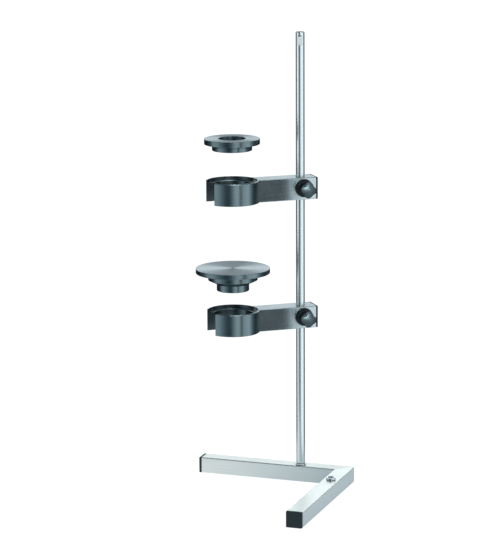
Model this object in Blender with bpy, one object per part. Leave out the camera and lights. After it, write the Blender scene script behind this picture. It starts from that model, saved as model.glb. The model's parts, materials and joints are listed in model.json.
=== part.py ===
"""Retort stand: an L-shaped base of square tube, a round rod and two clamped swivel arms.

Each arm is a square tube with a slotted cup at its free end. A loose turned insert goes into
each cup: a ring with a bore in the upper one, a round plate in the lower one. The inserts are
stored lifted clear of their cups.

Frame: metres, +Z up. The rod's axis is x = y = 0 and the underside of the base is z = 0. The
long bar lies along X, and the short bar runs from its +X end towards -Y.
"""
import math

import bmesh
import bpy
from mathutils import Matrix, Vector

# Driving dimensions
GAP = 0.0003                    # left between pieces that touch

BASE_SIDE = 0.022               # square tube of the base
BASE_WALL = 0.002
BASE_EDGE = 0.0012              # outside corner radius of the tube
LONG_BAR_LEFT = 0.146           # rod axis to the outside of the left end cap
CORNER_X = 0.074                # rod axis to the outside of the short bar
SHORT_BAR_FRONT = 0.220         # rod axis to the outside of the front end cap
BASE_CAP = 0.0035
CAP_PLUG = 0.012

ROD_DIAMETER = 0.012
ROD_TOP = 0.622
ROD_SPIGOT = 0.008              # threaded end, screwed into the corner connector
SPIGOT_END = 0.007
COLLAR_DIAMETER = 0.0152
COLLAR_HEIGHT = 0.0022
FLAT_ACROSS = 0.0098            # spanner flats near the top of the rod
FLAT_TOP = 0.0062               # measured down from the top
FLAT_HEIGHT = 0.0115
FLAT_TURN = math.radians(16.5)

SCREW_Y = 0.060                 # rod axis to the screw in the short bar
SCREW_HEAD = 0.0136
SCREW_PROUD = 0.003
HEX_SOCKET = 0.006

ARM_SIDE = 0.030                # square tube of the arms
ARM_WALL = 0.002
ARM_EDGE = 0.0010
ARM_TURN = math.radians(38)     # arms are swung from the long bar towards the front
ARM_TAIL = 0.020                # rod axis to the outside of the arm's end cap
ARM_CAP = 0.0026
ARM_PLUG = 0.006
CUP_REACH = 0.097               # rod axis to the cup's axis
SCREW_LEVEL = 0.016             # height of the clamp screw above the arm's underside
BLOCK_LENGTH = 0.022
BUSH_DIAMETER = 0.016
PLUG_LENGTH = 0.020

CUP_RADIUS = 0.036
CUP_BORE = 0.0273
CUP_RECESS = 0.034              # wide shallow recess above the bore
CUP_RECESS_DEPTH = 0.005
CUP_SLOT = 0.035
CUP_SCREW_LEVELS = (0.0075, 0.0175)
CUP_SCREW_HEAD = 0.0085
CUP_SCREW = 0.005

STUD = 0.006
STUD_END = 0.0116               # rod axis to the inner end of the stud
PAD_INNER = 0.0083
PAD_DIAMETER = 0.005
DISC_DIAMETER = 0.0245
DISC_HEIGHT = 0.0025
KNOB_BACK = 0.0215              # rod axis to the knob's hub
KNOB_LENGTH = 0.0205
KNOB_RADIUS = 0.0114
KNOB_LOBES = 4
KNOB_TURN = math.radians(-8)

UPPER_ARM = 0.396               # heights of the arms' undersides
LOWER_ARM = 0.218
RING_TOP = 0.483                # heights of the lifted inserts' top faces
PLATE_TOP = 0.306

RING_RADIUS = 0.0375
RING_THICK = 0.0074
RING_DEPTH = 0.0159
RING_SPIGOT = 0.0270
RING_BORE = 0.0185
PLATE_RADIUS = 0.0503
PLATE_THICK = 0.0065
PLATE_STEP = 0.0336
PLATE_STEP_DEPTH = 0.0158
PLATE_SPIGOT = 0.0220
PLATE_CONE_DEPTH = 0.0213
PLATE_DEPTH = 0.0306

ROUND = 48                      # sides of the large round pieces
SMALL_ROUND = 20                # sides of the small ones
CUP_ROUND = 64
ROD_ROUND = 40
CORNER_STEPS = 2

ALONG_X = Matrix(((0, 0, 1, 0), (1, 0, 0, 0), (0, 1, 0, 0), (0, 0, 0, 1)))
OUTWARD = Matrix.Rotation(math.radians(90), 4, "X")      # turns +Z to -Y, the clamp screw's way


def clear_scene():
    for old in list(bpy.data.objects):
        bpy.data.objects.remove(old, do_unlink=True)


def material(name, colour, roughness, metallic):
    made = bpy.data.materials.new(name)
    made.use_nodes = True
    shader = made.node_tree.nodes["Principled BSDF"]
    shader.inputs["Base Color"].default_value = (*colour, 1)
    shader.inputs["Roughness"].default_value = roughness
    shader.inputs["Metallic"].default_value = metallic
    made.diffuse_color = (*colour, 1)
    return made


def add_object(name, bm, finish, parent=None, place=Matrix.Identity(4)):
    """Turn a bmesh into a named object placed in its parent's frame."""
    bmesh.ops.recalc_face_normals(bm, faces=bm.faces)
    mesh = bpy.data.meshes.new(name)
    bm.to_mesh(mesh)
    bm.free()
    mesh.shade_smooth()
    mesh.set_sharp_from_angle(angle=math.radians(30))
    made = bpy.data.objects.new(name, mesh)
    bpy.context.scene.collection.objects.link(made)
    if finish:
        mesh.materials.append(finish)
    made.parent = parent
    made.matrix_local = place
    return made


def cut(target, bm, place=Matrix.Identity(4)):
    """Subtract a bmesh, placed in the target's frame, from the target."""
    count = len(target.modifiers) + 1
    cutter = add_object(f"{target.name}_cutter_{count}", bm, None, target, place)
    cutter.hide_render = True
    cutter.display_type = "WIRE"
    modifier = target.modifiers.new(f"cut_{count}", "BOOLEAN")
    modifier.operation = "DIFFERENCE"
    modifier.object = cutter


def empty(name, location, turn=0.0, parent=None):
    made = bpy.data.objects.new(name, None)
    bpy.context.scene.collection.objects.link(made)
    made.empty_display_size = 0.02
    made.parent = parent
    made.location = location
    made.rotation_euler.z = turn
    return made


# Shapes
def loft(sections):
    """A closed solid through outlines of equal length: a list of (outline, height) pairs."""
    bm = bmesh.new()
    rings = [[bm.verts.new((x, y, height)) for x, y in outline] for outline, height in sections]
    for lower, upper in zip(rings, rings[1:]):
        for i in range(len(lower)):
            j = (i + 1) % len(lower)
            bm.faces.new((lower[i], lower[j], upper[j], upper[i]))
    bm.faces.new(rings[0])
    bm.faces.new(rings[-1])
    return bm


def rounded_square(side, radius):
    half = side / 2 - radius
    points = []
    for quarter, (sx, sy) in enumerate(((1, 1), (-1, 1), (-1, -1), (1, -1))):
        for step in range(CORNER_STEPS + 1):
            angle = (quarter + step / CORNER_STEPS) * math.pi / 2
            points.append((sx * half + radius * math.cos(angle), sy * half + radius * math.sin(angle)))
    return points


def circle(radius, sides):
    return [(radius * math.cos(2 * math.pi * i / sides), radius * math.sin(2 * math.pi * i / sides))
            for i in range(sides)]


def cylinder(radius, low, high, sides=SMALL_ROUND):
    return loft([(circle(radius, sides), low), (circle(radius, sides), high)])


def box(low, high):
    """A box from its lowest corner to its highest."""
    outline = [(low[0], low[1]), (high[0], low[1]), (high[0], high[1]), (low[0], high[1])]
    return loft([(outline, low[2]), (outline, high[2])])


def turned(profile, sides=ROUND):
    """A turned solid. A profile of (radius, height) points that ends on the axis makes a solid
    body, and one that doesn't is closed into a ring."""
    bm = bmesh.new()
    rings = []
    for radius, height in profile:
        if radius == 0:
            rings.append([bm.verts.new((0, 0, height))] * sides)
        else:
            rings.append([bm.verts.new((x, y, height)) for x, y in circle(radius, sides)])
    pairs = list(zip(rings, rings[1:]))
    if profile[0][0] > 0:
        pairs.append((rings[-1], rings[0]))
    for lower, upper in pairs:
        for i in range(sides):
            j = (i + 1) % sides
            corners = list(dict.fromkeys((lower[i], lower[j], upper[j], upper[i])))
            bm.faces.new(corners)
    return bm


def hollow_bar(side, wall, edge, start, end):
    """A square tube along X, standing on z = 0. start and end give the position of each end for
    a point's sideways offset, so that an end can be square or mitred."""
    bm = bmesh.new()
    outer = rounded_square(side, edge)
    inner = rounded_square(side - 2 * wall, edge / 2)
    rings = []
    for outline, position in ((outer, start), (outer, end), (inner, end), (inner, start)):
        rings.append([bm.verts.new((position(y), y, z + side / 2)) for y, z in outline])
    for lower, upper in zip(rings, rings[1:] + rings[:1]):
        for i in range(len(lower)):
            j = (i + 1) % len(lower)
            bm.faces.new((lower[i], lower[j], upper[j], upper[i]))
    return bm


def end_cap(side, wall, edge, plate, plug):
    """A plate with softened front edges and a plug that goes into the tube, along +Z."""
    inside = side - 2 * wall - 2 * GAP
    soften = 0.0006
    return loft([
        (rounded_square(side - 2 * soften, edge), 0),
        (rounded_square(side, edge), soften),
        (rounded_square(side, edge), plate),
        (rounded_square(inside, edge / 2), plate),
        (rounded_square(inside, edge / 2), plate + plug),
    ])


def hex_socket(across, low, high):
    return cylinder(across / math.sqrt(3), low, high, sides=6)


def knob_body():
    """A lobed grip along +Z: a round hub that flares into lobes under a domed face."""
    hub, valley = 0.0062, 0.0080
    # height, radius at the lobes' tips, radius between the lobes
    sections = (
        (0.0000, hub, hub),
        (0.0030, hub + 0.0004, hub),
        (0.0070, 0.0094, 0.0070),
        (0.0098, KNOB_RADIUS, valley - 0.0002),
        (0.0135, KNOB_RADIUS, valley),
        (0.0160, 0.0103, 0.0077),
        (0.0180, 0.0080, 0.0066),
        (0.0196, 0.0049, 0.0045),
        (KNOB_LENGTH, 0.0020, 0.0020),
    )
    outlines = []
    for height, tip, between in sections:
        outline = []
        for i in range(ROUND):
            angle = 2 * math.pi * i / ROUND
            lobe = 0.5 + 0.5 * math.cos(KNOB_LOBES * angle)
            radius = between + (tip - between) * lobe
            turn = angle + KNOB_TURN
            outline.append((radius * math.cos(turn), radius * math.sin(turn)))
        outlines.append((outline, height))
    return loft(outlines)


# Base and rod
def make_base(finish):
    anodised, plastic, steel = finish["anodised"], finish["cap"], finish["steel"]
    middle = BASE_SIDE / 2
    corner = CORNER_X - middle
    joint = GAP / 2 * math.sqrt(2)

    long_bar = add_object("base_long_bar", hollow_bar(
        BASE_SIDE, BASE_WALL, BASE_EDGE,
        start=lambda y: BASE_CAP + GAP - LONG_BAR_LEFT,
        end=lambda y: corner + y - joint), anodised)
    spigot_hole = ROD_SPIGOT / 2 + GAP
    cut(long_bar, cylinder(spigot_hole, middle, BASE_SIDE + 0.001))

    short_bar = add_object("base_short_bar", hollow_bar(
        BASE_SIDE, BASE_WALL, BASE_EDGE,
        start=lambda y: joint - y,
        end=lambda y: SHORT_BAR_FRONT - BASE_CAP - GAP), anodised,
        place=Matrix.Translation((corner, 0, 0)) @ Matrix.Rotation(-math.pi / 2, 4, "Z"))
    cut(short_bar, cylinder(spigot_hole, middle, BASE_SIDE + 0.001), Matrix.Translation((SCREW_Y, 0, 0)))

    cap = end_cap(BASE_SIDE, BASE_WALL, BASE_EDGE, BASE_CAP, CAP_PLUG)
    add_object("long_bar_end_cap", cap, plastic,
               place=Matrix.Translation((-LONG_BAR_LEFT, 0, middle)) @ ALONG_X)
    cap = end_cap(BASE_SIDE, BASE_WALL, BASE_EDGE, BASE_CAP, CAP_PLUG)
    add_object("short_bar_end_cap", cap, plastic,
               place=Matrix.Translation((corner, -SHORT_BAR_FRONT, middle)) @ OUTWARD.inverted())

    leg = middle - BASE_WALL - GAP
    outline = [(-0.014, -leg), (corner - leg, -leg), (corner - leg, -SCREW_Y - 0.014),
               (corner + leg, -SCREW_Y - 0.014), (corner + leg, leg), (-0.014, leg)]
    connector = add_object("corner_connector", loft([(outline, middle - leg), (outline, middle + leg)]),
                           finish["casting"])
    depth = SPIGOT_END - GAP
    cut(connector, cylinder(spigot_hole, depth, BASE_SIDE))
    cut(connector, cylinder(spigot_hole, depth, BASE_SIDE), Matrix.Translation((corner, -SCREW_Y, 0)))

    head, shank = SCREW_HEAD / 2, ROD_SPIGOT / 2
    under, top = BASE_SIDE + GAP, BASE_SIDE + GAP + SCREW_PROUD
    screw = add_object("short_bar_screw", turned([
        (0, SPIGOT_END), (shank, SPIGOT_END), (shank, under), (head, under), (head, top - 0.0005),
        (head - 0.0005, top), (0, top)], SMALL_ROUND), steel,
        place=Matrix.Translation((corner, -SCREW_Y, 0)))
    cut(screw, hex_socket(HEX_SOCKET, top - 0.0022, top + 0.001))


def make_rod(finish):
    spigot, radius, collar = ROD_SPIGOT / 2, ROD_DIAMETER / 2, COLLAR_DIAMETER / 2
    collar_low = BASE_SIDE + GAP
    collar_top = collar_low + COLLAR_HEIGHT
    edge = 0.0003
    add_object("rod_collar", turned([
        (spigot + GAP, collar_low), (collar, collar_low), (collar, collar_top - edge),
        (collar - edge, collar_top), (spigot + GAP, collar_top)], SMALL_ROUND), finish["steel"])

    shoulder = collar_top + GAP
    chamfer = 0.0006
    rod = add_object("rod", turned([
        (0, SPIGOT_END), (spigot, SPIGOT_END), (spigot, shoulder), (radius, shoulder),
        (radius, ROD_TOP - chamfer), (radius - chamfer, ROD_TOP), (0, ROD_TOP)], ROD_ROUND), finish["steel"])
    flat = FLAT_ACROSS / 2
    high = ROD_TOP - FLAT_TOP
    for side in (0, math.pi):
        block = box((-radius, -0.02, high - FLAT_HEIGHT), (radius, -flat, high))
        cut(rod, block, Matrix.Rotation(FLAT_TURN + side, 4, "Z"))


# Arms
def cup_body():
    """The plain turned ring of a cup, before it is slotted."""
    shelf = ARM_SIDE - CUP_RECESS_DEPTH
    edge = 0.0004
    return turned([
        (CUP_BORE, 0), (CUP_RADIUS - edge, 0), (CUP_RADIUS, edge), (CUP_RADIUS, ARM_SIDE - edge),
        (CUP_RADIUS - edge, ARM_SIDE), (CUP_RECESS, ARM_SIDE), (CUP_RECESS, shelf),
        (CUP_BORE + edge, shelf), (CUP_BORE, shelf - edge)], CUP_ROUND)


def recess_bore():
    """The cup's recess is bored after the cup is fixed to its arm, so it also cuts into the end
    of the arm's tube and plug."""
    return cylinder(CUP_RECESS, ARM_SIDE - CUP_RECESS_DEPTH, ARM_SIDE + 0.001, CUP_ROUND)


def make_cup(prefix, axis, finish):
    seat = math.sqrt(CUP_RADIUS ** 2 - (ARM_SIDE / 2) ** 2)
    cup = add_object(f"{prefix}_cup", cup_body(), finish["black"], axis,
                     Matrix.Translation((-CUP_REACH, 0, 0)))
    over = 0.005
    half = CUP_SLOT / 2
    cut(cup, box((-CUP_RADIUS - over, -half, -over), (0, half, ARM_SIDE + over)))
    cut(cup, box((seat, -CUP_RADIUS, -over), (CUP_RADIUS + over, CUP_RADIUS, ARM_SIDE + over)))
    head, shank = CUP_SCREW_HEAD / 2, CUP_SCREW / 2
    under = seat - 0.0024           # the screw heads bear here, inside the cup's wall
    head_top = under - 0.0027
    for level in CUP_SCREW_LEVELS:
        way = Matrix.Translation((0, 0, level)) @ ALONG_X
        cut(cup, cylinder(shank + GAP, 0.010, CUP_RADIUS), way)
        cut(cup, cylinder(head + GAP, 0.010, under), way)

    inside = ARM_SIDE - 2 * ARM_WALL - 2 * GAP
    start = seat + GAP - CUP_REACH
    outline = rounded_square(inside, ARM_EDGE / 2)
    plug_place = Matrix.Translation((start, 0, ARM_SIDE / 2)) @ ALONG_X
    plug = add_object(f"{prefix}_cup_plug", loft([(outline, 0), (outline, PLUG_LENGTH)]),
                      finish["casting"], axis, plug_place)
    cut(plug, recess_bore(), plug_place.inverted() @ Matrix.Translation((-CUP_REACH, 0, 0)))
    screw_end = start + 0.014
    for level, place in zip(CUP_SCREW_LEVELS, ("bottom", "top")):
        cut(plug, cylinder(shank + GAP, -0.001, screw_end - start + GAP),
            Matrix.Translation((0, level - ARM_SIDE / 2, 0)))
        screw = add_object(f"{prefix}_cup_screw_{place}", turned([
            (0, screw_end + CUP_REACH), (shank, screw_end + CUP_REACH), (shank, under - GAP),
            (head, under - GAP), (head, head_top), (0, head_top)], SMALL_ROUND), finish["steel"], axis,
            Matrix.Translation((-CUP_REACH, 0, level)) @ ALONG_X)
        cut(screw, hex_socket(0.003, head_top - 0.001, head_top + 0.0015))
    return start


def make_arm(prefix, height, finish):
    """One arm. In its frame the arm lies along X, with the cup at -X and its underside at z = 0."""
    axis = empty(f"{prefix}_arm_axis", (0, 0, height), ARM_TURN)
    start = make_cup(prefix, axis, finish)
    end = ARM_TAIL - ARM_CAP - GAP
    tube = add_object(f"{prefix}_arm_tube", hollow_bar(
        ARM_SIDE, ARM_WALL, ARM_EDGE, start=lambda y: start, end=lambda y: end),
        finish["brushed"], axis)
    rod_hole = ROD_DIAMETER / 2 + 0.0005
    cut(tube, cylinder(rod_hole, -0.001, ARM_SIDE + 0.001))
    cut(tube, recess_bore(), Matrix.Translation((-CUP_REACH, 0, 0)))
    screw_way = Matrix.Translation((0, 0, SCREW_LEVEL)) @ OUTWARD
    stud_hole = STUD / 2 + GAP
    cut(tube, cylinder(stud_hole, 0.010, 0.020), screw_way)

    cap = end_cap(ARM_SIDE, ARM_WALL, ARM_EDGE, ARM_CAP, ARM_PLUG)
    add_object(f"{prefix}_arm_end_cap", cap, finish["cap"], axis,
               Matrix.Translation((ARM_TAIL, 0, ARM_SIDE / 2)) @ Matrix.Rotation(math.pi, 4, "Z") @ ALONG_X)

    inside = ARM_SIDE - 2 * ARM_WALL - 2 * GAP
    outline = rounded_square(inside, ARM_EDGE / 2)
    block = add_object(f"{prefix}_clamp_block", loft([(outline, 0), (outline, BLOCK_LENGTH)]),
                       finish["casting"], axis,
                       Matrix.Translation((-BLOCK_LENGTH / 2, 0, ARM_SIDE / 2)) @ ALONG_X)
    to_block = (Matrix.Translation((-BLOCK_LENGTH / 2, 0, ARM_SIDE / 2)) @ ALONG_X).inverted()
    bush_hole = BUSH_DIAMETER / 2 + GAP
    cut(block, cylinder(bush_hole, -0.001, ARM_SIDE + 0.001), to_block)
    cut(block, cylinder(stud_hole, 0.002, 0.020), to_block @ screw_way)

    bush_low = ARM_WALL + GAP
    bush_high = ARM_SIDE - ARM_WALL - GAP
    bore = ROD_DIAMETER / 2 + GAP
    add_object(f"{prefix}_guide_bush", turned([
        (bore, bush_low), (BUSH_DIAMETER / 2, bush_low), (BUSH_DIAMETER / 2, bush_high),
        (bore, bush_high)], SMALL_ROUND), finish["nylon"], axis)
    make_clamp_screw(prefix, axis, screw_way, finish)


def make_clamp_screw(prefix, axis, screw_way, finish):
    """The disc, pad, stud and knob, each turned about the clamp screw's axis."""
    face = ARM_SIDE / 2 + GAP
    radius, edge, stud = DISC_DIAMETER / 2, 0.0006, STUD / 2
    add_object(f"{prefix}_clamp_disc", turned([
        (stud + GAP, face), (radius, face), (radius, face + DISC_HEIGHT - edge),
        (radius - edge, face + DISC_HEIGHT), (stud + GAP, face + DISC_HEIGHT)]),
        finish["knob"], axis, screw_way)
    pad, pad_edge = PAD_DIAMETER / 2, 0.0005
    pad_top = STUD_END - GAP
    add_object(f"{prefix}_pressure_pad", turned([
        (0, PAD_INNER), (pad - pad_edge, PAD_INNER), (pad, PAD_INNER + pad_edge), (pad, pad_top),
        (0, pad_top)], SMALL_ROUND), finish["brass"], axis, screw_way)
    socket_end = KNOB_BACK + 0.012
    add_object(f"{prefix}_knob_stud", turned([
        (0, STUD_END), (stud, STUD_END), (stud, socket_end), (0, socket_end)], SMALL_ROUND),
        finish["steel"], axis, screw_way)
    knob = add_object(f"{prefix}_knob", knob_body(), finish["knob"], axis,
                      screw_way @ Matrix.Translation((0, 0, KNOB_BACK)))
    cut(knob, cylinder(stud + GAP, -0.001, socket_end - KNOB_BACK + GAP))


# Inserts
def cup_centre(height):
    away = Vector((-CUP_REACH, 0, 0))
    return Matrix.Translation((0, 0, height)) @ Matrix.Rotation(ARM_TURN, 4, "Z") @ Matrix.Translation(away)


def make_inserts(finish):
    """Heights are measured from each insert's top face, which is its origin."""
    edge = 0.0004
    neck = RING_SPIGOT - 0.0008
    land = -0.0104                  # where the spigot widens to fit the cup's bore
    ring = turned([
        (RING_BORE, -edge), (RING_BORE + edge, 0), (RING_RADIUS - edge, 0), (RING_RADIUS, -edge),
        (RING_RADIUS, -RING_THICK), (neck, -RING_THICK), (neck, land), (RING_SPIGOT, land - edge),
        (RING_SPIGOT, -RING_DEPTH + edge), (RING_SPIGOT - edge, -RING_DEPTH), (RING_BORE, -RING_DEPTH)])
    add_object("ring_insert", ring, finish["black"], place=cup_centre(RING_TOP))

    plate = turned([
        (0, 0), (PLATE_RADIUS - edge, 0), (PLATE_RADIUS, -edge), (PLATE_RADIUS, -PLATE_THICK + edge),
        (PLATE_RADIUS - edge, -PLATE_THICK), (PLATE_STEP, -PLATE_THICK), (PLATE_STEP, -PLATE_STEP_DEPTH),
        (PLATE_SPIGOT, -PLATE_CONE_DEPTH), (PLATE_SPIGOT, -PLATE_DEPTH + edge),
        (PLATE_SPIGOT - edge, -PLATE_DEPTH), (0, -PLATE_DEPTH)])
    add_object("plate_insert", plate, finish["black"], place=cup_centre(PLATE_TOP))


def main():
    clear_scene()
    finish = {
        "anodised": material("satin_anodised_aluminium", (0.80, 0.82, 0.83), 0.38, 1.0),
        "brushed": material("brushed_anodised_aluminium", (0.62, 0.66, 0.68), 0.34, 1.0),
        "casting": material("cast_aluminium", (0.55, 0.56, 0.57), 0.60, 1.0),
        "steel": material("polished_stainless_steel", (0.78, 0.80, 0.82), 0.12, 1.0),
        "black": material("black_anodised_aluminium", (0.13, 0.155, 0.165), 0.30, 0.9),
        "knob": material("black_moulded_plastic", (0.025, 0.028, 0.031), 0.38, 0.0),
        "cap": material("black_cap_plastic", (0.022, 0.026, 0.030), 0.50, 0.0),
        "nylon": material("white_nylon", (0.80, 0.79, 0.75), 0.50, 0.0),
        "brass": material("turned_brass", (0.72, 0.55, 0.26), 0.30, 1.0),
    }
    make_base(finish)
    make_rod(finish)
    make_arm("upper", UPPER_ARM, finish)
    make_arm("lower", LOWER_ARM, finish)
    make_inserts(finish)


main()
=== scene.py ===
"""Looks for the retort stand: fine meshes, materials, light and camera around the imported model.

Every visible CAD node is replaced by a finer mesh of the same size in the same place. The inner
pieces keep their CAD meshes and only get a material. Metres, +Z up, in the CAD model's frame.
"""
import json
import math

import bmesh
import bpy
from mathutils import Matrix, Vector


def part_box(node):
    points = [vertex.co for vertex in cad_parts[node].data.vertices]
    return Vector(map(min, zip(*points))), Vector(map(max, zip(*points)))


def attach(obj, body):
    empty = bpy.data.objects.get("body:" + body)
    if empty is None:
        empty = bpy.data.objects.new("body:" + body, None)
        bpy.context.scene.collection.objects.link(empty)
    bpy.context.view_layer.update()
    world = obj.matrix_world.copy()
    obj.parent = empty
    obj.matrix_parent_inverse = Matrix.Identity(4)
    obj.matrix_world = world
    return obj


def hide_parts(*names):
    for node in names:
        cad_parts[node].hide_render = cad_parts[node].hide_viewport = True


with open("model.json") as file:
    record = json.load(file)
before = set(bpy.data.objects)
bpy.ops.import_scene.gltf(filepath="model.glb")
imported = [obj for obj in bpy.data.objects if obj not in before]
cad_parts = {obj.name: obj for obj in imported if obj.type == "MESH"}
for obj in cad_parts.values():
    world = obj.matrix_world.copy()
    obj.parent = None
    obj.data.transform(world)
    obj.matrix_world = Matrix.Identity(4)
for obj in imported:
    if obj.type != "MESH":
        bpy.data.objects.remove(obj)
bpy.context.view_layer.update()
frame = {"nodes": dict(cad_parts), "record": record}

# Sizes that the CAD boxes don't give
TUBE_WALL = 0.002
BASE_EDGE = 0.0012              # outside corner radius of the base tubes
ARM_EDGE = 0.0010               # and of the arm tubes
SEAM = 0.00008                  # half the visible gap of the mitre
PLUG_SLACK = 0.0006             # how much narrower a plug is than the tube that it's in
BASE_HOLE = 0.0043              # radius of the holes in the base tubes
BASE_THREAD = 0.004             # radius of the rod's foot and the base screw's shank
BASE_SCREW_KEY = 0.006          # across its hexagon's flats
ROD_HOLE = 0.0065               # radius of the arm tubes' holes for it
FLAT_ACROSS = 0.0098            # from one of the rod's flats to the other
FLAT_TOP = 0.0062               # below the rod's top
FLAT_HEIGHT = 0.0115
FLAT_TURN = math.radians(16.5)
ARM_TAIL = 0.020                # how far an arm reaches behind the rod's axis
ARM_CAP_PLATE = 0.0026
ARM_CAP_PLUG = 0.0052
CAP_LEAD = 0.0008               # length of the taper at the end of a plug
CLAMP_HOLE = 0.0033             # radius of the hole in an arm's front wall
CLAMP_STUD = 0.003              # radius
STUD_START = 0.0116             # the stud's inner end, from the arm's middle
STUD_IN_KNOB = 0.012
THREAD_PITCH = 0.001
THREAD_DEPTH = 0.00055
DISC_RADIUS = 0.01225
DISC_THICKNESS = 0.0027
DISC_DISH_LEVEL = 0.0023        # thickness of its dished middle
DISC_DISH_RADIUS = 0.0062
DISC_RIM_INSIDE = 0.0068        # radius where its rim starts
CUP_RADIUS = 0.036
CUP_BORE = 0.0273               # radius
CUP_RECESS = 0.034              # radius
CUP_RECESS_DEPTH = 0.005
CUP_SLOT = 0.035                # width
CUP_SCREW = 0.0025              # radius
CUP_SCREW_HEAD = 0.00425        # radius
CUP_SCREW_HEIGHT = 0.0027       # of its head
CUP_SCREW_WALL = 0.0024         # cup wall under its head
CUP_SCREW_REACH = 0.014         # how far it goes into the plug
CUP_SCREW_KEY = 0.003
KNOB_BACK = 0.0215              # the knob's back face, from the arm's middle
KNOB_LENGTH = 0.0205
KNOB_LOBES = 4
KNOB_TURN = math.radians(-8)
KNOB_SHARP = 50                 # degrees, so that its lobes stay smooth

# Clearances
GAP = 0.0001                    # between pieces that sit face to face
SLACK = 0.0003                  # round screws and studs, and under screw heads
OVERCUT = 0.001                 # how far a cutter reaches past the face it cuts

# Camera: its direction from the stand, and how far its target is to the right of the rod and
# above the floor
VIEW_AZIMUTH = math.radians(19.54)
VIEW_ELEVATION = math.radians(11.66)
VIEW_ROLL = math.radians(-0.34)
VIEW_DISTANCE = 3.6
VIEW_SIDEWAYS = -0.0790
VIEW_HEIGHT = 0.2898
LENS = 172.7
SENSOR = 36
FAR_CLIP = 200

# Studio
STAND_MIDDLE = Vector((0, 0, 0.3))
CARD_DISTANCE = 0.18            # from the rod's axis

# Turns that point a shape's +Z along +X, and along an arm's front (its -Y)
ALONG_X = Matrix(((0, 0, 1, 0), (1, 0, 0, 0), (0, 1, 0, 0), (0, 0, 0, 1)))
OUTWARD = Matrix.Rotation(math.radians(90), 4, "X")
IN_PLACE = Matrix.Identity(4)

node_body = {node: body
             for body, nodes in frame["record"]["behaviour"]["bodies"].items()
             for node in nodes}


def centre(node):
    low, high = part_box(node)
    return (low + high) / 2


def radius_of(node):
    low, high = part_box(node)
    return (high.x - low.x) / 2


def top(node):
    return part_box(node)[1].z


def bottom(node):
    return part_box(node)[0].z


# The frame's axes and the tubes' sides
rod_axis = centre("rod")
cup_axis = centre("ring_insert")
cup_reach = (cup_axis - rod_axis).xy.length
arm_turn = math.atan2(rod_axis.y - cup_axis.y, rod_axis.x - cup_axis.x)
arm_side = top("upper_arm_tube") - bottom("upper_arm_tube")
base_side = top("base_long_bar") - bottom("base_long_bar")


# Shapes
def loft(sections, close=False, ends=True):
    """Outlines of equal length, as lists of (x, y, z) points, joined into one mesh."""
    bm = bmesh.new()
    rings = [[bm.verts.new(point) for point in outline] for outline in sections]
    pairs = list(zip(rings, rings[1:]))
    if close:
        pairs.append((rings[-1], rings[0]))
    for lower, upper in pairs:
        for i in range(len(lower)):
            j = (i + 1) % len(lower)
            bm.faces.new((lower[i], lower[j], upper[j], upper[i]))
    if ends and not close:
        bm.faces.new(rings[0])
        bm.faces.new(rings[-1])
    return bm


def at_height(outline, height):
    return [(x, y, height) for x, y in outline]


def rounded_square(side, radius, steps=6):
    half = side / 2 - radius
    points = []
    for quarter, (sx, sy) in enumerate(((1, 1), (-1, 1), (-1, -1), (1, -1))):
        for step in range(steps + 1):
            angle = (quarter + step / steps) * math.pi / 2
            points.append((sx * half + radius * math.cos(angle),
                           sy * half + radius * math.sin(angle)))
    return points


def circle(radius, sides, turn=0.0):
    return [(radius * math.cos(turn + 2 * math.pi * i / sides),
             radius * math.sin(turn + 2 * math.pi * i / sides)) for i in range(sides)]


def cylinder(radius, low, high, sides=64):
    """A plain cylinder about Z, for cutting with."""
    return loft([at_height(circle(radius, sides), low), at_height(circle(radius, sides), high)])


def hexagon(across, low, high):
    """A hexagonal prism about Z, for cutting a socket with."""
    return cylinder(across / math.sqrt(3), low, high, 6)


def box(low, high):
    outline = [(low[0], low[1]), (high[0], low[1]), (high[0], high[1]), (low[0], high[1])]
    return loft([at_height(outline, low[2]), at_height(outline, high[2])])


def filleted(corners, steps=4):
    """A profile with rounded corners, from (radius, height, fillet) corners in order."""
    profile = []
    count = len(corners)
    for i, (radius, height, fillet) in enumerate(corners):
        here = Vector((radius, height))
        if fillet == 0 or i in (0, count - 1):
            profile.append(tuple(here))
            continue
        back = (Vector(corners[i - 1][:2]) - here).normalized()
        on = (Vector(corners[i + 1][:2]) - here).normalized()
        half = back.angle(on) / 2
        reach = fillet / math.tan(half)
        middle = here + (back + on).normalized() * (fillet / math.sin(half))
        first = here + back * reach - middle
        last = here + on * reach - middle
        start = math.atan2(first.y, first.x)
        sweep = math.remainder(math.atan2(last.y, last.x) - start, 2 * math.pi)
        for step in range(steps + 1):
            angle = start + sweep * step / steps
            profile.append((middle.x + fillet * math.cos(angle),
                            middle.y + fillet * math.sin(angle)))
    return profile


def turned(corners, sides=160, steps=4):
    """A turned piece about Z. Corners that start and end on the axis make a solid one, and
    others a ring."""
    profile = filleted(corners, steps)
    bm = bmesh.new()
    rings = []
    for radius, height in profile:
        if radius == 0:
            rings.append([bm.verts.new((0, 0, height))] * sides)
        else:
            rings.append([bm.verts.new((x, y, height)) for x, y in circle(radius, sides)])
    pairs = list(zip(rings, rings[1:]))
    if profile[0][0] > 0:
        pairs.append((rings[-1], rings[0]))
    for lower, upper in pairs:
        for i in range(sides):
            j = (i + 1) % sides
            bm.faces.new(list(dict.fromkeys((lower[i], lower[j], upper[j], upper[i]))))
    return bm


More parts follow.
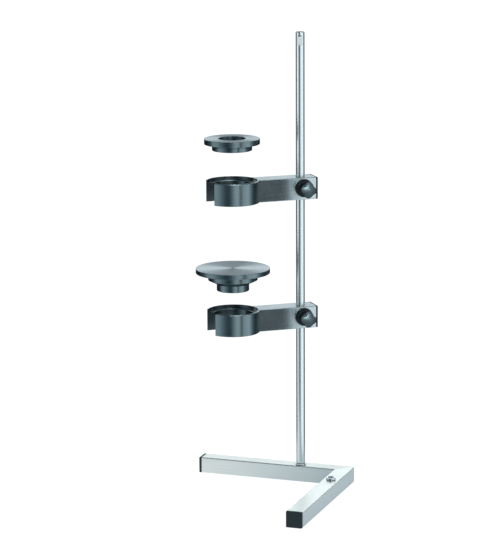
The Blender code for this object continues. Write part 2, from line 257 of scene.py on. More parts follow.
def threaded(low, high, radius, sides=48, rows=8):
    """A threaded stud about Z, with its ends chamfered to the thread's root."""
    steepness, root, lead_in = 1.4, 0.2, 0.8
    sections = []
    count = round((high - low) / THREAD_PITCH * rows)
    for row in range(count + 1):
        height = low + (high - low) * row / count
        end = min(height - low, high - height)
        ring = []
        for i in range(sides):
            angle = 2 * math.pi * i / sides
            phase = ((height - low) / THREAD_PITCH - i / sides) % 1
            crest = min(1, max(0, steepness * (1 - abs(2 * phase - 1)) - root))
            crest *= min(1, end / (THREAD_PITCH * lead_in))
            reach = radius - THREAD_DEPTH * (1 - crest)
            ring.append((reach * math.cos(angle), reach * math.sin(angle), height))
        sections.append(ring)
    return loft(sections)


# Pieces
def bake(piece):
    """Turn a piece's one modifier into mesh."""
    bpy.context.view_layer.update()
    evaluated = piece.evaluated_get(bpy.context.evaluated_depsgraph_get())
    piece.data = bpy.data.meshes.new_from_object(evaluated)
    piece.modifiers.clear()


def smooth(piece, sharp):
    """Smooth shading that keeps flat faces flat beside their rounded edges."""
    piece.data.shade_smooth()
    piece.data.set_sharp_from_angle(angle=math.radians(sharp))
    modifier = piece.modifiers.new("normals", "WEIGHTED_NORMAL")
    modifier.keep_sharp = True
    bake(piece)


def add_piece(name, bm, finish, node=None, place=IN_PLACE, sharp=30):
    """Make a piece from a bmesh. With a node, it rides with that CAD node's body and stands for
    the node."""
    bmesh.ops.recalc_face_normals(bm, faces=bm.faces)
    mesh = bpy.data.meshes.new(name)
    bm.to_mesh(mesh)
    bm.free()
    piece = bpy.data.objects.new(name, mesh)
    bpy.context.scene.collection.objects.link(piece)
    piece.matrix_world = place
    mesh.materials.append(finish)
    smooth(piece, sharp)
    if node:
        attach(piece, node_body[node])
        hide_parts(node)
    return piece


def cut(piece, cutters, sharp=30, finish=None):
    """Cut (bmesh, place) cutters out of a piece's mesh, in the piece's own frame. The cut faces
    take the finish, or else the piece's own."""
    for bm, place in cutters:
        cutter = add_piece(piece.name + "_cutter", bm, finish or piece.data.materials[0])
        cutter.matrix_world = piece.matrix_world @ place
        modifier = piece.modifiers.new("cut", "BOOLEAN")
        modifier.operation = "DIFFERENCE"
        modifier.material_mode = "TRANSFER"
        modifier.object = cutter
        bake(piece)
        bpy.data.objects.remove(cutter)
    smooth(piece, sharp)


def refinish(piece, finish, faces_it, least=0.5):
    """Give the faces whose faces_it value is above least a material of their own: a different
    finish, or a lighter or darker copy that paints light or shade.
    """
    piece.data.materials.append(finish)
    for face in piece.data.polygons:
        if faces_it(face) > least:
            face.material_index = len(piece.data.materials) - 1


def upward(face):
    return face.normal.z


def inward(face):
    """How squarely a face looks in at its piece's own Z axis."""
    return -face.normal.xy.dot(face.center.xy.normalized())


def tube(side, wall, edge, start, end):
    """A square tube along X about its own axis. start and end give each end's position for a
    point's sideways offset, so an end can be mitred."""
    outer = rounded_square(side, edge)
    inner = rounded_square(side - 2 * wall, edge / 2)
    rings = ((outer, start), (outer, end), (inner, end), (inner, start))
    sections = [[(position(y), y, z) for y, z in outline] for outline, position in rings]
    return loft(sections, close=True)


def cap(side, edge, plate, plug, inside):
    """A plug-in end cap along +Z: a plate with a rounded rim and a shallow dish in its face, and
    a plug that ends in a short taper past the plug height."""
    soften, steps = 0.0007, 4
    dish, dish_rim, dish_slope = 0.00015, 0.0030, 0.0006
    lead_in = 0.0012
    sections = [at_height(rounded_square(side - dish_rim - dish_slope, edge / 2), dish),
                at_height(rounded_square(side - dish_rim, edge / 2), 0)]
    for step in range(steps + 1):
        angle = step / steps * math.pi / 2
        rim = rounded_square(side - 2 * soften * (1 - math.sin(angle)), edge)
        sections.append(at_height(rim, soften * (1 - math.cos(angle))))
    sections.append(at_height(rounded_square(side, edge), plate))
    sections.append(at_height(rounded_square(inside, edge / 2), plate))
    sections.append(at_height(rounded_square(inside, edge / 2), plug))
    sections.append(at_height(rounded_square(inside - lead_in, edge / 2), plug + CAP_LEAD))
    return loft(sections)


def cup(height):
    """The slotted cup: a profile swept round the axis from one side of the slot to the other.
    Two extra sections at each side soften the slot's edges. The slot opens towards -X, and the
    flat back is cut later."""
    shelf = height - CUP_RECESS_DEPTH
    mid_bore = 0.006
    profile = filleted([
        (CUP_BORE, 0.0, 0), (CUP_RADIUS, 0.0, 0.0005), (CUP_RADIUS, height, 0.0012),
        (CUP_RECESS, height, 0.0003), (CUP_RECESS, shelf, 0), (CUP_BORE, shelf, 0.0004),
        (CUP_BORE, mid_bore, 0)])
    steps = 168
    soften, skin = 0.00035, 0.001
    half = CUP_SLOT / 2
    sections = []
    for step in range(-2, steps + 3):
        outside = max(-step, step - steps, 0)
        inset = soften if outside == 2 else 0.0
        margin = (2 * soften, soften, 0.0)[outside]
        share = min(max(step / steps, 0), 1)
        ring = []
        for r, z in profile:
            reach = min(max(r, CUP_BORE + inset), CUP_RADIUS - inset)
            if CUP_BORE + skin < r < CUP_RADIUS - skin:
                reach = r
            level = min(max(z, inset), height - inset)
            limit = math.asin((half + margin) / reach)
            angle = math.pi - limit - share * 2 * (math.pi - limit)
            ring.append((reach * math.cos(angle), reach * math.sin(angle), level))
        sections.append(ring)
    return loft(sections)


def knob(length):
    """The lobed grip about +Z: a hub that flares into lobes under a dome."""
    hub, tip, valley = 0.0062, 0.0111, 0.0080
    # height, lobe tip radius, radius between the lobes
    stations = (
        (0.0000, hub - 0.0004, hub - 0.0004), (0.0004, hub, hub), (0.0032, hub + 0.0003, hub),
        (0.0056, 0.0075, 0.0064), (0.0080, 0.0091, 0.0070), (0.0098, 0.0103, 0.0075),
        (0.0108, tip - 0.0002, valley - 0.0003), (0.0115, tip, valley - 0.0002),
        (0.0134, tip, valley), (0.0143, tip - 0.0003, valley), (0.0150, 0.0104, 0.0080),
        (0.0157, 0.0097, 0.0080), (0.0163, 0.0090, 0.0079), (0.0169, 0.0082, 0.0076),
        (0.0175, 0.0073, 0.0070), (0.0181, 0.0063, 0.0062), (0.0187, 0.0051, 0.0051),
        (0.0193, 0.0038, 0.0038), (0.0199, 0.0023, 0.0023), (length, 0.0008, 0.0008))
    sides, bluntness = 144, 0.6
    sections = []
    for height, outer, between in stations:
        ring = []
        for i in range(sides):
            angle = 2 * math.pi * i / sides
            lobe = (0.5 + 0.5 * math.cos(KNOB_LOBES * angle)) ** bluntness
            radius = between + (outer - between) * lobe
            way = angle + KNOB_TURN
            ring.append((radius * math.cos(way), radius * math.sin(way), height))
        sections.append(ring)
    return loft(sections)


# Materials
def shader(name, colour, roughness, metallic, **sockets):
    made = bpy.data.materials.new(name)
    made.use_nodes = True
    tree = made.node_tree
    surface = tree.nodes["Principled BSDF"]
    surface.inputs["Base Color"].default_value = (*colour, 1)
    surface.inputs["Roughness"].default_value = roughness
    surface.inputs["Metallic"].default_value = metallic
    for socket, value in sockets.items():
        surface.inputs[socket.replace("_", " ")].default_value = value
    made.diffuse_color = (*colour, 1)
    return made, tree, surface


def add_node(tree, kind, inputs=(), **settings):
    node = tree.nodes.new(kind)
    for key, value in settings.items():
        setattr(node, key, value)
    for key, value in dict(inputs).items():
        if isinstance(value, bpy.types.NodeSocket):
            tree.links.new(value, node.inputs[key])
        else:
            node.inputs[key].default_value = value
    return node


def noise(tree, vector, scale, detail=3.0, roughness=0.55):
    node = add_node(tree, "ShaderNodeTexNoise", {
        "Vector": vector, "Scale": scale, "Detail": detail, "Roughness": roughness})
    return node.outputs["Fac"]


def spread(tree, value, low, high):
    """Map a noise value from about 0.3 to 0.7 onto a range."""
    node = add_node(tree, "ShaderNodeMapRange", {
        "Value": value, "From Min": 0.3, "From Max": 0.7, "To Min": low, "To Max": high})
    return node.outputs["Result"]


def shade(colour, share):
    return tuple(min(1, c * share) for c in colour)


def tint(tree, value, dark, light):
    """Mix two colours by a value."""
    node = add_node(tree, "ShaderNodeMix", {"Factor": value}, data_type="RGBA")
    node.inputs["A"].default_value = (*dark, 1)
    node.inputs["B"].default_value = (*light, 1)
    return node.outputs["Result"]


def bump(tree, surface, height, strength, distance):
    node = add_node(tree, "ShaderNodeBump", {
        "Height": height, "Strength": strength, "Distance": distance})
    tree.links.new(node.outputs["Normal"], surface.inputs["Normal"])


def object_place(tree):
    return add_node(tree, "ShaderNodeTexCoord").outputs["Object"]


def grain_along_x(tree):
    """Coordinates that draw noise out into fine lines along the piece's length."""
    along, across = 14, 1800
    node = add_node(tree, "ShaderNodeMapping", {
        "Vector": object_place(tree), "Scale": (along, across, across)})
    return node.outputs["Vector"]


def grain_round_z(tree, scale=2200.0):
    """Coordinates that draw noise out into fine rings round the piece's axis."""
    place = add_node(tree, "ShaderNodeSeparateXYZ", {"Vector": object_place(tree)})
    flat = add_node(tree, "ShaderNodeCombineXYZ", {
        "X": place.outputs["X"], "Y": place.outputs["Y"]})
    reach = add_node(tree, "ShaderNodeVectorMath", {0: flat.outputs["Vector"]}, operation="LENGTH")
    rings = add_node(tree, "ShaderNodeCombineXYZ", {
        "X": reach.outputs["Value"], "Z": place.outputs["Z"]})
    node = add_node(tree, "ShaderNodeMapping", {
        "Vector": rings.outputs["Vector"], "Scale": (scale,) * 3})
    return node.outputs["Vector"]


def vary_colour(tree, surface, value, dark, light):
    """Drive a surface's colour from dark to light by a noise value."""
    tree.links.new(tint(tree, spread(tree, value, 0, 1), dark, light), surface.inputs["Base Color"])


def vary_roughness(tree, surface, fine, fine_range, patches, low, high):
    """Roughness with a fine part, plus or minus fine_range, and a patchy part."""
    rough = add_node(tree, "ShaderNodeMath", {
        0: spread(tree, fine, -fine_range, fine_range), 1: spread(tree, patches, low, high)},
        operation="ADD")
    tree.links.new(rough.outputs["Value"], surface.inputs["Roughness"])


def set_tangent(tree, surface, axis):
    tangent = add_node(tree, "ShaderNodeTangent", direction_type="RADIAL", axis=axis)
    tree.links.new(tangent.outputs["Tangent"], surface.inputs["Tangent"])


def drawn_metal(name, colour, roughness, anisotropy, line_depth):
    """Extruded or brushed aluminium with its grain along X."""
    made, tree, surface = shader(name, colour, roughness, 1.0, Anisotropic=anisotropy)
    lines = noise(tree, grain_along_x(tree), scale=1.0, detail=4.0, roughness=0.6)
    patches = noise(tree, object_place(tree), scale=38.0, detail=2.0)
    vary_colour(tree, surface, lines, shade(colour, 0.94), shade(colour, 1.05))
    vary_roughness(tree, surface, lines, 0.02, patches, roughness - 0.015, roughness + 0.015)
    bump(tree, surface, lines, line_depth, distance=0.00004)
    set_tangent(tree, surface, "X")
    return made


def turned_metal(name, colour, roughness, anisotropy, line_depth, metallic=1.0, contrast=0.08,
                 edge=1.0):
    """Turned or ground metal with fine rings about Z. A lower edge dims it at grazing angles."""
    made, tree, surface = shader(name, colour, roughness, metallic, Anisotropic=anisotropy,
                                 Anisotropic_Rotation=0.25, Specular_Tint=(edge, edge, edge, 1))
    rings = noise(tree, grain_round_z(tree), scale=1.0, detail=3.0, roughness=0.6)
    patches = noise(tree, object_place(tree), scale=45.0, detail=2.0)
    vary_colour(tree, surface, rings, shade(colour, 1 - contrast), shade(colour, 1 + contrast))
    vary_roughness(tree, surface, rings, 0.015, patches, roughness - 0.01, roughness + 0.02)
    if line_depth:
        bump(tree, surface, rings, line_depth, distance=0.00003)
    set_tangent(tree, surface, "Z")
    return made


def moulded_plastic(name, colour, roughness, grain, gloss=0.5):
    """Moulded plastic with a fine spark-eroded grain and faint handling marks."""
    made, tree, surface = shader(name, colour, roughness, 0.0, Specular_IOR_Level=gloss,
                                 Specular_Tint=(0.76, 0.94, 1.0, 1))
    fine = noise(tree, object_place(tree), scale=2400.0, detail=3.0)
    marks = noise(tree, object_place(tree), scale=120.0, detail=4.0, roughness=0.65)
    vary_colour(tree, surface, marks, shade(colour, 0.85), shade(colour, 1.25))
    rough = spread(tree, marks, roughness - 0.04, roughness + 0.05)
    tree.links.new(rough, surface.inputs["Roughness"])
    bump(tree, surface, fine, grain, distance=0.00004)
    return made


def cast_metal(name, colour, roughness):
    """Cast metal with an uneven skin."""
    made, tree, surface = shader(name, colour, roughness, 1.0)
    skin = noise(tree, object_place(tree), scale=900.0, detail=5.0, roughness=0.6)
    vary_colour(tree, surface, skin, shade(colour, 0.8), colour)
    rough = spread(tree, skin, roughness - 0.1, roughness + 0.1)
    tree.links.new(rough, surface.inputs["Roughness"])
    bump(tree, surface, skin, strength=0.35, distance=0.0001)
    return made


# Each metal: name, colour, roughness, anisotropy, depth of its lines
ANODISED = drawn_metal("satin_anodised_aluminium", (0.775, 0.785, 0.75), 0.36, 0.3, 0.06)
BRUSHED = drawn_metal("brushed_anodised_aluminium", (0.43, 0.49, 0.505), 0.22, 1.0, 0.05)
STAINLESS = turned_metal("ground_stainless_rod", (0.71, 0.76, 0.76), 0.18, 0.8, 0,
                         metallic=0.93, contrast=0.01, edge=0.25)
MILLED = turned_metal("milled_stainless", (0.92, 0.95, 0.95), 0.62, 0.0, 0,
                      metallic=0.5, contrast=0.02)
STEEL = turned_metal("turned_steel", (0.66, 0.69, 0.70), 0.22, 0.4, 0.06)
BLACK = turned_metal("black_anodised_turned", (0.17, 0.222, 0.237), 0.28, 0.55, 0.06, edge=0.38)
# The upward faces' copy of the black anodising: its stronger faced grain is real, and its lighter
# colour and undimmed grazing reflection paint light on the tops
BLACK_FACED_LIT_TOPS = turned_metal("black_anodised_faced", (0.185, 0.235, 0.25), 0.32, 0.9, 0.06)
# Painted shade: a darker copy of the black anodising for the faces inside the cups, darkening the
# bore and the recess
BLACK_SHADED_INSIDE = turned_metal("black_anodised_bored", (0.100, 0.132, 0.142), 0.30, 0.55, 0.06,
                           edge=0.38)
# Each plastic: name, colour, roughness, depth of its grain, gloss
DISC_PLASTIC = moulded_plastic("black_disc_plastic", (0.006, 0.009, 0.012), 0.42, 0.15, 0.3)
KNOB_PLASTIC = moulded_plastic("black_knob_plastic", (0.008, 0.014, 0.017), 0.50, 0.06, 1.0)
TAIL_PLASTIC = moulded_plastic("black_tail_cap_plastic", (0.006, 0.009, 0.012), 0.50, 0.20, 0.12)
CAP_PLASTIC = moulded_plastic("black_cap_plastic", (0.015, 0.021, 0.026), 0.48, 0.30, 0.4)
CASTING = cast_metal("cast_aluminium", (0.56, 0.57, 0.58), 0.58)
NYLON = moulded_plastic("white_nylon", (0.78, 0.77, 0.73), 0.48, 0.15)
BRASS = turned_metal("turned_brass", (0.74, 0.56, 0.27), 0.28, 0.4, 0.06)


# Base and rod
def make_base():
    """The two mitred bars, their end caps and the base screw."""
    middle = base_side / 2
    long_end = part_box("base_long_bar")[0].x
    short_end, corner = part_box("base_short_bar")[0].y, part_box("base_short_bar")[1].x - middle
    screw_y = centre("short_bar_screw").y
    long_bar = add_piece("long_bar", tube(
        base_side, TUBE_WALL, BASE_EDGE,
        start=lambda y: long_end, end=lambda y: corner + y - SEAM),
        ANODISED, "base_long_bar", Matrix.Translation((0, 0, middle)))
    cut(long_bar, [(cylinder(BASE_HOLE, 0, base_side), IN_PLACE)])
    short_bar = add_piece("short_bar", tube(
        base_side, TUBE_WALL, BASE_EDGE, start=lambda y: SEAM - y, end=lambda y: -short_end),
        ANODISED, "base_short_bar",
        Matrix.Translation((corner, 0, middle)) @ Matrix.Rotation(-math.pi / 2, 4, "Z"))
    cut(short_bar, [(cylinder(BASE_HOLE, 0, base_side), Matrix.Translation((-screw_y, 0, 0)))])

    inside = base_side - 2 * TUBE_WALL - PLUG_SLACK
    low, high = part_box("long_bar_end_cap")
    plate = long_end - low.x - 2 * GAP
    add_piece("long_bar_cap", cap(base_side, BASE_EDGE, plate, high.x - low.x - CAP_LEAD, inside),
              CAP_PLASTIC, "long_bar_end_cap", Matrix.Translation((low.x, 0, middle)) @ ALONG_X)
    low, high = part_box("short_bar_end_cap")
    add_piece("short_bar_cap", cap(base_side, BASE_EDGE, plate, high.y - low.y - CAP_LEAD, inside),
              CAP_PLASTIC, "short_bar_end_cap",
              Matrix.Translation((corner, low.y, middle)) @ OUTWARD.inverted())

    foot, crown = bottom("short_bar_screw"), top("short_bar_screw")
    head, shank, under = radius_of("short_bar_screw"), BASE_THREAD, base_side + SLACK
    dish, dish_floor, dish_depth, key_depth = 0.0048, 0.0044, 0.0005, 0.0022
    dish_level = crown - dish_depth
    screw = add_piece("base_screw", turned([
        (0, foot, 0), (shank, foot, 0.0005), (shank, under, 0), (head, under, 0.0003),
        (head, crown, 0.0006), (dish, crown, 0.0002), (dish_floor, dish_level, 0),
        (0, dish_level, 0)], sides=96),
        STEEL, "short_bar_screw", Matrix.Translation((corner, screw_y, 0)))
    cut(screw, [(hexagon(BASE_SCREW_KEY, crown - key_depth, crown + OVERCUT), IN_PLACE)])


def make_rod():
    """The rod, with two spanner flats milled near its top, and the collar under its shoulder."""
    foot, end, radius = bottom("rod"), top("rod"), radius_of("rod")
    shoulder = top("rod_collar") + 2 * GAP
    place = Matrix.Translation((rod_axis.x, rod_axis.y, 0))
    rod = add_piece("rod_ground", turned([
        (0, foot, 0), (BASE_THREAD, foot, 0.0006), (BASE_THREAD, shoulder, 0),
        (radius, shoulder, 0.0003), (radius, end, 0.0008), (0, end, 0)], sides=128),
        STAINLESS, "rod", place)
    block_width, block_depth = 0.020, 0.020
    level = end - FLAT_TOP
    blocks = [(box((-block_width / 2, -block_depth, level - FLAT_HEIGHT),
                   (block_width / 2, -FLAT_ACROSS / 2, level)),
               Matrix.Rotation(FLAT_TURN + side, 4, "Z")) for side in (0, math.pi)]
    cut(rod, blocks, finish=MILLED)
    low, high = bottom("rod_collar"), top("rod_collar")
    collar, bore = radius_of("rod_collar"), BASE_THREAD + SLACK
    add_piece("rod_washer", turned([
        (bore, low, 0), (collar, low, 0.0003), (collar, high, 0.0005), (bore, high, 0)], sides=96),
        STEEL, "rod_collar", place)


# Arms
def make_arm(prefix):
    """One arm. Its own frame has the rod's axis as Z, its underside at 0 and the cup at -X."""
    level = bottom(f"{prefix}_arm_tube")
    axis = Matrix.Translation((rod_axis.x, rod_axis.y, level)) @ Matrix.Rotation(arm_turn, 4, "Z")
    middle = Matrix.Translation((0, 0, arm_side / 2))
    cup_middle = Matrix.Translation((-cup_reach, 0, 0))
    seat = math.sqrt(CUP_RADIUS ** 2 - (arm_side / 2) ** 2)
    screw_level = centre(f"{prefix}_clamp_disc").z - level
    clamp = Matrix.Translation((0, 0, screw_level)) @ OUTWARD

    arm = add_piece(f"{prefix}_tube", tube(
        arm_side, TUBE_WALL, ARM_EDGE, start=lambda y: seat + GAP - cup_reach,
        end=lambda y: ARM_TAIL - ARM_CAP_PLATE - GAP),
        BRUSHED, f"{prefix}_arm_tube", axis @ middle)
    to_tube = middle.inverted()
    recess = cylinder(CUP_RECESS + GAP, arm_side - CUP_RECESS_DEPTH - GAP, arm_side + OVERCUT,
                      sides=192)
    through_wall = 0.005
    clamp_hole = cylinder(CLAMP_HOLE, arm_side / 2 - through_wall, arm_side / 2 + through_wall)
    cut(arm, [(cylinder(ROD_HOLE, -OVERCUT, arm_side + OVERCUT), to_tube),
              (recess, to_tube @ cup_middle), (clamp_hole, to_tube @ clamp)])
    inside = arm_side - 2 * TUBE_WALL - PLUG_SLACK
    tail = Matrix.Translation((ARM_TAIL, 0, arm_side / 2)) @ Matrix.Rotation(math.pi, 4, "Z")
    add_piece(f"{prefix}_tube_cap",
              cap(arm_side, ARM_EDGE, ARM_CAP_PLATE, ARM_CAP_PLATE + ARM_CAP_PLUG, inside),
              TAIL_PLASTIC, f"{prefix}_arm_end_cap", axis @ tail @ ALONG_X)
    make_cup(prefix, axis @ cup_middle, level, seat)
    make_clamp(prefix, axis @ clamp)


def make_cup(prefix, cup_place, level, seat):
    """The cup, with its flat back at seat from its axis, and the two screws through its back."""
    body = add_piece(f"{prefix}_slotted_cup", cup(arm_side), BLACK, f"{prefix}_cup", cup_place)
    under = seat - CUP_SCREW_WALL
    crown = under - CUP_SCREW_HEIGHT
    seated = under - SLACK
    end = seat + GAP + CUP_SCREW_REACH
    key_depth = 0.0015
    in_bore, outside = 0.010, 0.040
    cutters = [(box((seat, -outside, -OVERCUT), (outside, outside, arm_side + OVERCUT)), IN_PLACE)]
    for place in ("bottom", "top"):
        height = centre(f"{prefix}_cup_screw_{place}").z - level
        way = Matrix.Translation((0, 0, height)) @ ALONG_X
        cutters.append((cylinder(CUP_SCREW + SLACK, in_bore, CUP_RADIUS), way))
        cutters.append((cylinder(CUP_SCREW_HEAD + SLACK, in_bore, under), way))
        screw = add_piece(f"{prefix}_cup_screw_{place}_fine", turned([
            (0, end, 0), (CUP_SCREW, end, 0.0004), (CUP_SCREW, seated, 0),
            (CUP_SCREW_HEAD, seated, 0.0002), (CUP_SCREW_HEAD, crown, 0.0004), (0, crown, 0)],
            sides=64), STEEL, f"{prefix}_cup_screw_{place}", cup_place @ way)
        cut(screw, [(hexagon(CUP_SCREW_KEY, crown - OVERCUT, crown + key_depth), IN_PLACE)])
    cut(body, cutters)
    # painted light on the cup's tops: the upward faces take the lighter faced copy
    refinish(body, BLACK_FACED_LIT_TOPS, upward)
    # painted shade inside the cup: the faces that look in at its axis take the darker copy
    refinish(body, BLACK_SHADED_INSIDE, inward)


def make_clamp(prefix, way):
    """The disc, stud and knob about the clamp screw's axis, which is +Z in their own frame."""
    face, bore = arm_side / 2 + GAP, CLAMP_STUD + SLACK
    front, dish = face + DISC_THICKNESS, face + DISC_DISH_LEVEL
    add_piece(f"{prefix}_disc", turned([
        (bore, face, 0), (DISC_RADIUS, face, 0.0003), (DISC_RADIUS, front, 0.0009),
        (DISC_RIM_INSIDE, front, 0.0004), (DISC_DISH_RADIUS, dish, 0.0002), (bore, dish, 0)],
        sides=128),
        DISC_PLASTIC, f"{prefix}_clamp_disc", way)
    add_piece(f"{prefix}_stud", threaded(STUD_START, KNOB_BACK + STUD_IN_KNOB, CLAMP_STUD), STEEL,
              f"{prefix}_knob_stud", way)
    grip = add_piece(f"{prefix}_grip", knob(KNOB_LENGTH), KNOB_PLASTIC, f"{prefix}_knob",
                     way @ Matrix.Translation((0, 0, KNOB_BACK)), sharp=KNOB_SHARP)
    cut(grip, [(cylinder(bore, -OVERCUT, STUD_IN_KNOB + SLACK), IN_PLACE)], sharp=KNOB_SHARP)


# Inserts
def make_inserts():
    """The two turned inserts. Their profiles are measured from their top faces."""
    place = Matrix.Translation((cup_axis.x, cup_axis.y, top("ring_insert")))
    radius = radius_of("ring_insert")
    depth = bottom("ring_insert") - top("ring_insert")
    spigot, neck, bore, under, land = 0.0270, 0.0262, 0.0185, -0.0074, -0.0104
    # the profile is a loop that starts and ends part of the way up the bore
    ring = add_piece("turned_ring", turned([
        (bore, depth + 0.003, 0), (bore, 0, 0.0006), (radius, 0, 0.0005), (radius, under, 0.0004),
        (neck, under, 0.0003), (neck, land, 0.0002), (spigot, land, 0.0003),
        (spigot, depth, 0.0006), (bore, depth, 0.0004), (bore, depth + 0.002, 0)], sides=192),
        BLACK, "ring_insert", place)
    # painted light on the ring's tops: its upward faces take the lighter faced copy
    refinish(ring, BLACK_FACED_LIT_TOPS, upward)

    place = Matrix.Translation((cup_axis.x, cup_axis.y, top("plate_insert")))
    radius = radius_of("plate_insert")
    depth = bottom("plate_insert") - top("plate_insert")
    step, step_end, spigot, cone_end, under = 0.0336, -0.0158, 0.0220, -0.0213, -0.0065
    # it starts with the small mark that turning leaves at the middle of the top
    plate = add_piece("turned_plate", turned([
        (0, 0, 0), (0.0008, -0.0004, 0), (0.0013, 0, 0), (radius, 0, 0.0005),
        (radius, under, 0.0006), (step, under, 0.0004), (step, step_end, 0.0003),
        (spigot, cone_end, 0.0004), (spigot, depth, 0.0008), (0, depth, 0)], sides=224),
        BLACK, "plate_insert", place)
    # painted light on the plate's top: its upward faces take the lighter faced copy
    refinish(plate, BLACK_FACED_LIT_TOPS, upward)


def finish_inner_pieces():
    """The sealed inner pieces keep their CAD meshes."""
    inner = {"corner_connector": CASTING}
    for prefix in ("upper", "lower"):
        inner[f"{prefix}_clamp_block"] = CASTING
        inner[f"{prefix}_cup_plug"] = CASTING
        inner[f"{prefix}_guide_bush"] = NYLON
        inner[f"{prefix}_pressure_pad"] = BRASS
    for node, finish in inner.items():
        mesh = frame["nodes"][node].data
        mesh.materials.clear()
        mesh.materials.append(finish)


# Studio
def cool(level):
    """The studio's light at a brightness: near white when bright and bluish when dim."""
    share = min(1, level)
    return (level * (0.68 + 0.24 * share), level, level * (1.22 - 0.18 * share), 1)


def towards(azimuth, elevation):
    """The direction of something seen from the stand at an azimuth from -Y and an elevation."""
    return Vector((math.sin(azimuth) * math.cos(elevation),
                   -math.cos(azimuth) * math.cos(elevation), math.sin(elevation)))


def glowing(name):
    """A material that only glows, and the node whose colour is to be set."""
    made, tree, _ = shader(name, (0.5, 0.5, 0.5), 1.0, 0.0)
    glow = add_node(tree, "ShaderNodeEmission")
    tree.links.new(glow.outputs["Emission"], tree.nodes["Material Output"].inputs["Surface"])
    return made, tree, glow


def ramp_of(tree, value, stops, low, high):
    """A colour ramp of studio brightness over a value, from (value, level) stops."""
    share = add_node(tree, "ShaderNodeMapRange", {
        "Value": value, "From Min": low, "From Max": high})
    ramp = add_node(tree, "ShaderNodeValToRGB", {"Fac": share.outputs["Result"]})
    points = ramp.color_ramp.elements
    points[0].color = cool(stops[0][1])
    points[1].color = cool(stops[-1][1])
    for at, level in stops[1:-1]:
        points.new((at - low) / (high - low)).color = cool(level)
    return ramp.outputs["Color"]


def fade(tree, value, start, end):
    """A share that goes smoothly from 0 where the value is start to 1 where it is end."""
    node = add_node(tree, "ShaderNodeMapRange", {
        "Value": value, "From Min": start, "From Max": end}, interpolation_type="SMOOTHSTEP")
    return node.outputs["Result"]


def cover(tree, share, under, colour):
    """A plain colour over another by a share."""
    node = add_node(tree, "ShaderNodeMix", {"Factor": share}, data_type="RGBA")
    tree.links.new(under, node.inputs["A"])
    node.inputs["B"].default_value = colour
    return node.outputs["Result"]


def unseen(card):
    """A card that only the shiny surfaces see."""
    for ray in ("visible_camera", "visible_diffuse", "visible_shadow", "visible_transmission"):
        setattr(card, ray, False)


def make_floor():
    """A pale floor with faint shadows that isn't mirrored in the metal, and a low sheet under
    the base bars that is. The sheet dims from the stand's left to the rod's right, and then
    lightens a little."""
    half, level, thickness = 30.0, -0.0006, 0.01
    glow_share, glow_strength = 0.92, 1.12
    made, tree, surface = shader("pale_floor", (0.93, 0.94, 0.94), 0.9, 0.0)
    glow = add_node(tree, "ShaderNodeEmission", {
        "Color": (1, 1, 1, 1), "Strength": glow_strength})
    mix = add_node(tree, "ShaderNodeMixShader", {
        0: glow_share, 1: surface.outputs["BSDF"], 2: glow.outputs["Emission"]})
    tree.links.new(mix.outputs["Shader"], tree.nodes["Material Output"].inputs["Surface"])
    floor = add_piece("floor", box((-half, -half, level - thickness), (half, half, level)), made)
    floor.visible_glossy = False

    made, tree, glow = glowing("bounce_sheet")
    along = add_node(tree, "ShaderNodeSeparateXYZ", {"Vector": object_place(tree)}).outputs["X"]
    # X, brightness
    stops = ((-0.18, 1.00), (-0.14, 0.98), (-0.08, 0.88), (0.0, 0.68), (0.05, 0.54),
             (0.08, 0.62), (0.14, 0.76))
    brightness = ramp_of(tree, along, stops, stops[0][0], stops[-1][0])
    tree.links.new(brightness, glow.inputs["Color"])
    low, high = (-0.20, -0.34, -0.0004), (0.16, 0.12, -0.0003)
    unseen(add_piece("bounce_sheet", box(low, high), made))


def make_card():
    """A bright card in front of the arms' front faces, seen only in reflections. The rod's end
    of a face mirrors the card, and its cup end mirrors the dark gap between two of the world's
    panels beyond the card's left edge, so the face brightens towards the rod."""
    made, tree, glow = glowing("graded_card")
    across = add_node(tree, "ShaderNodeSeparateXYZ", {"Vector": object_place(tree)}).outputs["X"]
    left, right, low, high, thickness = -0.0205, 0.034, -0.3, 0.9, 0.001
    stops = ((left, 0.45), (-0.0165, 0.85), (-0.010, 1.15), (0.002, 1.30), (right, 1.40))
    tree.links.new(ramp_of(tree, across, stops, left, right), glow.inputs["Color"])
    mirrored_view = 2 * arm_turn - VIEW_AZIMUTH
    place = (Matrix.Rotation(mirrored_view, 4, "Z")
             @ Matrix.Translation((0, -CARD_DISTANCE, 0)))
    unseen(add_piece("graded_card", box((left, 0, low), (right, thickness, high)), made,
                     place=place))


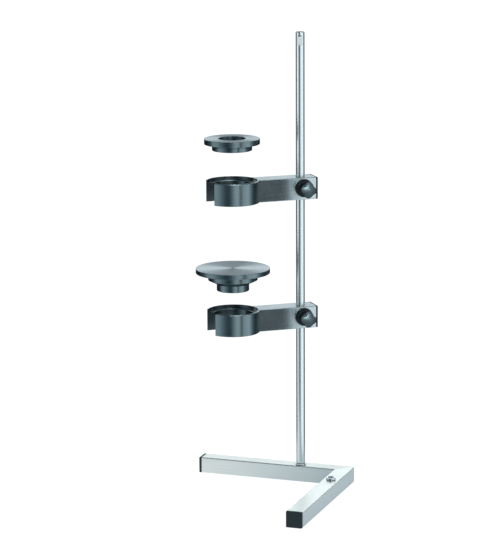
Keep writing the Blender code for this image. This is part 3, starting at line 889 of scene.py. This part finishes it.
def make_world():
    """A studio as the metal sees it: soft panels at set azimuths with dark between them, a band
    of light behind the stand from just above the horizon, and a dark ceiling. Azimuths are
    measured from the front camera's, positive to its right. The camera itself sees plain white."""
    world = bpy.data.worlds.new("studio")
    bpy.context.scene.world = world
    world.use_nodes = True
    tree = world.node_tree
    tree.nodes.clear()
    way = add_node(tree, "ShaderNodeTexCoord").outputs["Generated"]
    turn = add_node(tree, "ShaderNodeVectorRotate", {"Vector": way, "Angle": -VIEW_AZIMUTH},
                    rotation_type="Z_AXIS")
    part = add_node(tree, "ShaderNodeSeparateXYZ", {"Vector": turn.outputs["Vector"]})
    front = add_node(tree, "ShaderNodeMath", {0: part.outputs["Y"], 1: -1.0},
                     operation="MULTIPLY").outputs["Value"]
    azimuth = add_node(tree, "ShaderNodeMath", {0: part.outputs["X"], 1: front},
                       operation="ARCTAN2").outputs["Value"]
    # azimuth in degrees, brightness
    stops = ((-180, 0.25), (-160, 0.18), (-136, 0.06), (-118, 0.05), (-99, 0.22), (-84, 1.00),
             (-64, 0.85), (-52, 0.57), (-40, 0.35), (-24, 0.11), (-8, 0.13), (4, 0.62),
             (17, 1.15), (30, 1.18), (34, 0.06), (40, 0.06), (44.5, 1.00), (57, 1.15),
             (73, 1.42), (88, 0.52), (102, 0.14), (136, 0.05), (160, 0.18), (180, 0.25))
    panels = ramp_of(tree, azimuth, [(math.radians(at), level) for at, level in stops],
                     -math.pi, math.pi)
    height = part.outputs["Z"]
    band = add_node(tree, "ShaderNodeMath", {
        0: fade(tree, height, 0.10, 0.18), 1: fade(tree, front, -0.2, -0.5)},
        operation="MULTIPLY")
    band_level, ceiling_level = 1.60, 0.12
    room = cover(tree, band.outputs["Value"], panels, cool(band_level))
    room = cover(tree, fade(tree, height, 0.40, 0.66), room, cool(ceiling_level))
    seen = add_node(tree, "ShaderNodeLightPath").outputs["Is Camera Ray"]
    light = add_node(tree, "ShaderNodeBackground", {
        "Color": cover(tree, seen, room, (1, 1, 1, 1)), "Strength": 1.0})
    out = add_node(tree, "ShaderNodeOutputWorld")
    tree.links.new(light.outputs["Background"], out.inputs["Surface"])


def add_light(name, azimuth, elevation, distance, size, power, colour=(1, 1, 1), only=()):
    """A soft round panel that faces the middle of the stand, at an azimuth from the camera's and
    an elevation in degrees. It lights everything, or only the pieces with some names."""
    light = bpy.data.lights.new(name, "AREA")
    light.shape = "DISK"
    light.size = size
    light.energy = power
    light.color = colour
    lamp = bpy.data.objects.new(name, light)
    bpy.context.scene.collection.objects.link(lamp)
    way = towards(VIEW_AZIMUTH + math.radians(azimuth), math.radians(elevation))
    lamp.location = STAND_MIDDLE + way * distance
    lamp.rotation_euler = way.to_track_quat("Z", "Y").to_euler()
    if only:
        lit = bpy.data.collections.new(name + "_lit")
        for piece in only:
            lit.objects.link(bpy.data.objects[piece])
        lamp.light_linking.receiver_collection = lit


def make_lights():
    """A key light for the whole stand, two panels for the grips, two for the cups and one for
    the rod."""
    grips = ("upper_grip", "lower_grip")
    cups = ("upper_slotted_cup", "lower_slotted_cup")
    add_light("key", 12, 38, distance=2.2, size=0.35, power=5)
    add_light("knob_panel", -20, 40, distance=2.2, size=0.9, power=122,
              colour=(0.87, 0.97, 1.0), only=grips)
    add_light("knob_rim", -128, 8, distance=2.0, size=0.6, power=9, only=grips)
    add_light("cup_panel", 160, 70, distance=2.2, size=0.9, power=21, only=cups)
    add_light("rim_panel", 15, 50, distance=2.2, size=2.0, power=32, only=cups)
    add_light("rod_panel", -58, 1, distance=2.0, size=0.8, power=1.1, only=("rod_ground",))


def make_camera():
    camera = bpy.data.objects.new("camera", bpy.data.cameras.new("camera"))
    bpy.context.scene.collection.objects.link(camera)
    bpy.context.scene.camera = camera
    camera.data.lens = LENS
    camera.data.sensor_width = SENSOR
    camera.data.clip_end = FAR_CLIP
    right = Vector((math.cos(VIEW_AZIMUTH), math.sin(VIEW_AZIMUTH), 0))
    back = towards(VIEW_AZIMUTH, VIEW_ELEVATION)
    target = right * VIEW_SIDEWAYS + Vector((0, 0, VIEW_HEIGHT))
    turn = Matrix((right, back.cross(right), back)).transposed().to_4x4()
    roll = Matrix.Rotation(VIEW_ROLL, 4, "Z")
    camera.matrix_world = Matrix.Translation(target + back * VIEW_DISTANCE) @ turn @ roll


make_camera()
make_base()
make_rod()
for arm_name in ("upper", "lower"):
    make_arm(arm_name)
make_inserts()
finish_inner_pieces()
make_floor()
make_card()
make_world()
make_lights()
bpy.context.scene.view_settings.view_transform = "Standard"
